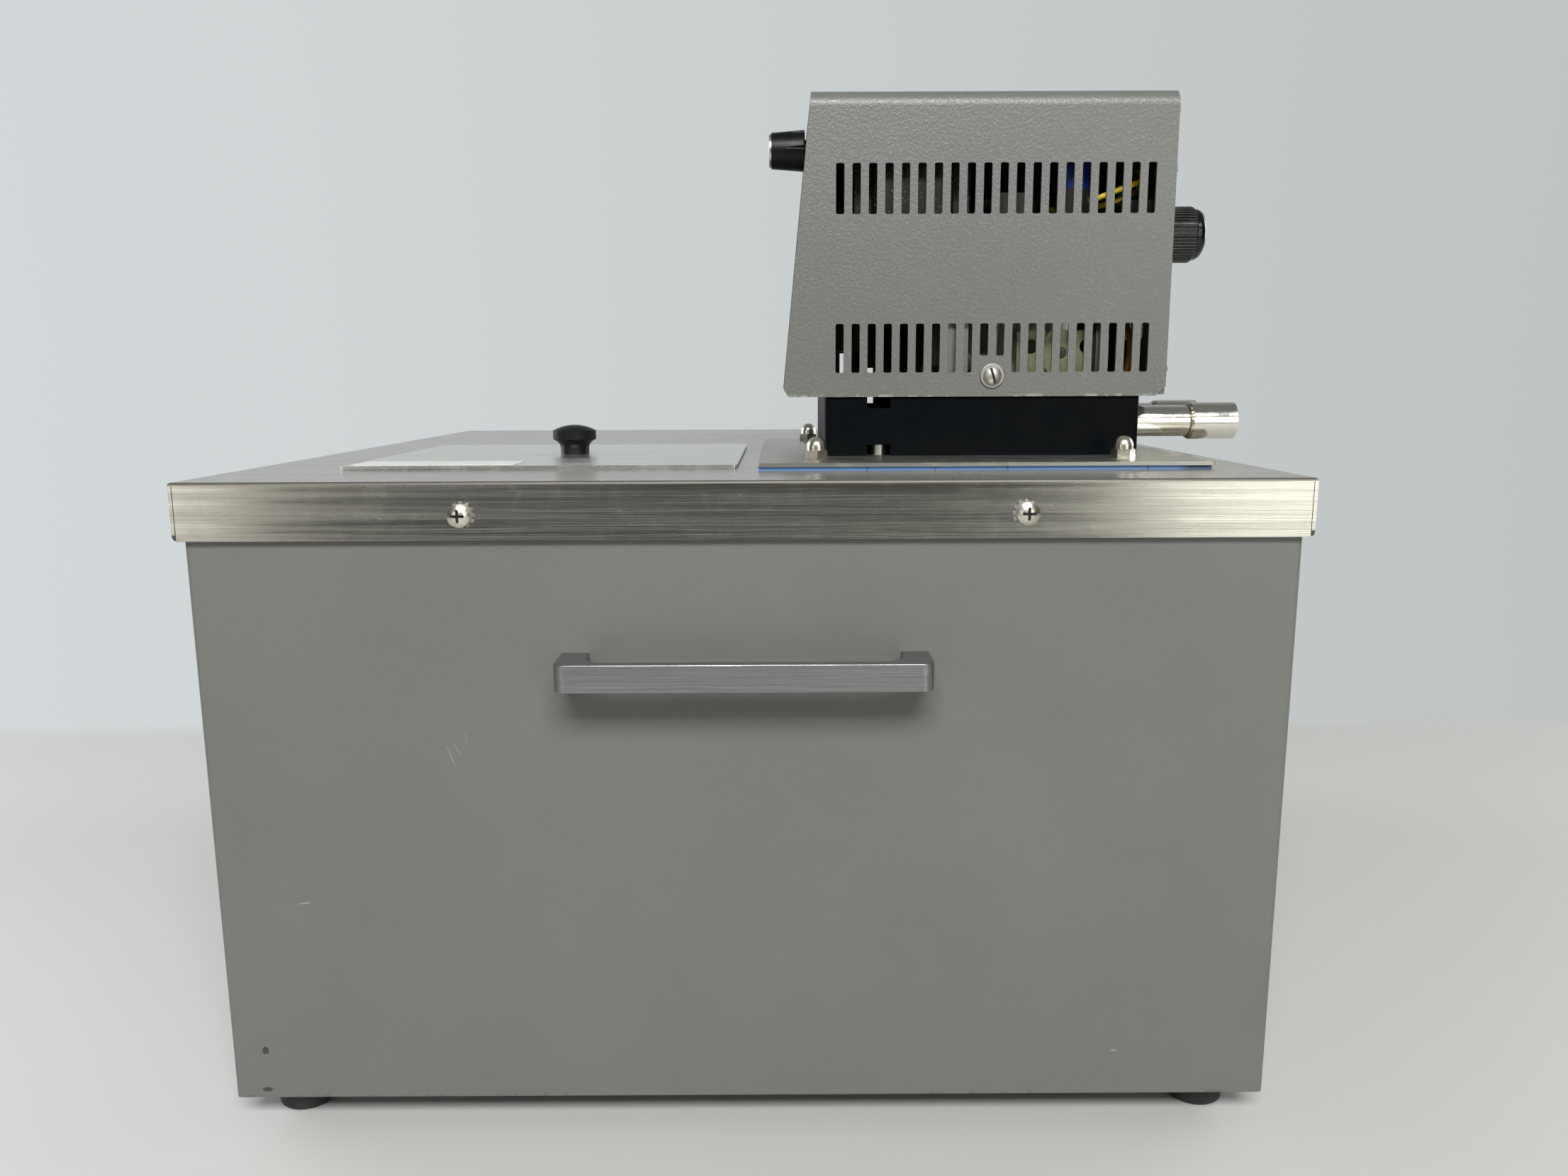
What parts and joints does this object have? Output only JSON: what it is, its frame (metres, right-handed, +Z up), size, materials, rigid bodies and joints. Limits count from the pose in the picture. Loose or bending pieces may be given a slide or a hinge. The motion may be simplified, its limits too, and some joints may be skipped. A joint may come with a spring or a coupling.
{
  "type": "refrigerated circulating water bath",
  "caption": "Laboratory water bath with a stainless deck over a grey casing, a lift-off lid and a bolted circulator head with hose outlets at the rear.",
  "frame": {"origin": "on the floor, at the middle of the whole object's box", "axes": "+Z up; the control panel faces -X and the hose sockets face +X; the side seen from the user's right faces -Y"},
  "size_m": [0.49, 0.518, 0.4743],
  "materials": {
    "stainless_deck": "long-grain brushed stainless sheet",
    "casing_paint": "fine-textured warm grey powder coat",
    "galvanised": "galvanised sheet",
    "foot_rubber": "matt black rubber",
    "bright_screws": "nickel plated",
    "handle_aluminium": "brushed anodised aluminium",
    "tank_steel": "deep drawn stainless steel",
    "foam": "polyurethane foam",
    "copper": "copper tube",
    "black_plastic": "satin black moulding",
    "gloss_black": "gloss black moulding",
    "shroud_black": "semi-gloss black",
    "panel_paint": "smooth dark grey",
    "rear_paint": "smooth warm grey",
    "gasket_blue": "blue silicone",
    "black_screws": "black oxide",
    "cap_aluminium": "spun aluminium",
    "display_glass": "dark red window",
    "lamp_lens": "amber lens",
    "transformer_lacquer": "black lacquered laminations",
    "board_green": "glass-epoxy board",
    "wire_insulation": "yellow and red PVC insulation",
    "motor_metal": "die cast",
    "stator_copper": "enamelled windings",
    "impeller_plastic": "natural moulding",
    "heater_sheath": "heat-tinted nickel alloy sheath",
    "compressor_paint": "black enamel"
  },
  "bodies": {
    "body": {"acorn_nuts": "bright_screws", "base_pan": "galvanised", "base_shroud": "shroud_black", "bath_tank": "tank_steel", "casing": "casing_paint", "chassis": "galvanised", "compressor": "compressor_paint", "condenser": "cap_aluminium", "control_board": "board_green", "cover_screws": "bright_screws", "cover_washers": "bright_screws", "cutout_thermostat": "black_plastic", "deck_screws": "bright_screws", "deck_top": "stainless_deck", "display_bezel": "black_plastic", "display_window": "display_glass", "evaporator_coil": "copper", "fan_shroud": "galvanised", "feet": "foot_rubber", "float_stem": "tank_steel", "foam_jacket": "foam", "foot_screws": "bright_screws", "front_panel": "panel_paint", "fuse_holder": "black_plastic", "handle_screws": "bright_screws", "head_cover": "casing_paint", "heater_coil": "heater_sheath", "left_handle": "handle_aluminium", "mains_inlet": "black_plastic", "motor_housing": "motor_metal", "motor_stator": "stator_copper", "mounting_plate": "stainless_deck", "pilot_lamps": "lamp_lens", "plate_gasket": "gasket_blue", "potentiometer": "black_plastic", "pump_columns": "tank_steel", "pump_housing": "tank_steel", "rear_panel": "rear_paint", "rear_panel_screws": "black_screws", "refrigerant_lines": "copper", "return_pipe": "tank_steel", "right_handle": "handle_aluminium", "supply_pipe": "tank_steel", "switch_housings": "black_plastic", "temperature_probe": "tank_steel", "tooth_washers": "bright_screws", "transformer": "transformer_lacquer", "wiring": "wire_insulation"},
    "lid": {"lid": "stainless_deck", "lid_knob": "black_plastic"},
    "setpoint_control": {"setpoint_knob": "black_plastic", "setpoint_cap": "cap_aluminium"},
    "cutout_control": {"cutout_knob": "gloss_black"},
    "power_switch": {"power_rocker": "gloss_black"},
    "cooling_switch": {"cooling_rocker": "gloss_black"},
    "pump_rotor": {"motor_shaft": "tank_steel", "motor_fan": "black_plastic", "impeller": "impeller_plastic"},
    "float": {"level_float": "impeller_plastic"},
    "fan_rotor": {"condenser_fan": "black_plastic"}
  },
  "joints": [
    {"name": "lid_lift", "type": "slide", "parent": "body", "child": "lid", "axis": [0, 0, 1], "range_m": [0, 0.25]},
    {"name": "setpoint_turn", "type": "hinge", "parent": "body", "child": "setpoint_control", "pos_m": [0.02, -0.082, 0.457], "axis": [-1, 0, 0], "range_deg": [-140, 140]},
    {"name": "cutout_turn", "type": "hinge", "parent": "body", "child": "cutout_control", "pos_m": [0.21, -0.122, 0.4093], "axis": [1, 0, 0], "range_deg": [-135, 135]},
    {"name": "power_rock", "type": "hinge", "parent": "body", "child": "power_switch", "pos_m": [0.0318, -0.106, 0.364], "axis": [0, -1, 0], "range_deg": [0, 20]},
    {"name": "cooling_rock", "type": "hinge", "parent": "body", "child": "cooling_switch", "pos_m": [0.0318, -0.058, 0.364], "axis": [0, -1, 0], "range_deg": [0, 20]},
    {"name": "pump_spin", "type": "hinge", "parent": "body", "child": "pump_rotor", "pos_m": [0.13, -0.082, 0.3], "axis": [0, 0, 1], "continuous": true},
    {"name": "float_rise", "type": "slide", "parent": "body", "child": "float", "axis": [0, 0, 1], "range_m": [0, 0.018]},
    {"name": "fan_spin", "type": "hinge", "parent": "body", "child": "fan_rotor", "pos_m": [-0.176, 0.14, 0.122], "axis": [1, 0, 0], "continuous": true}
  ]
}
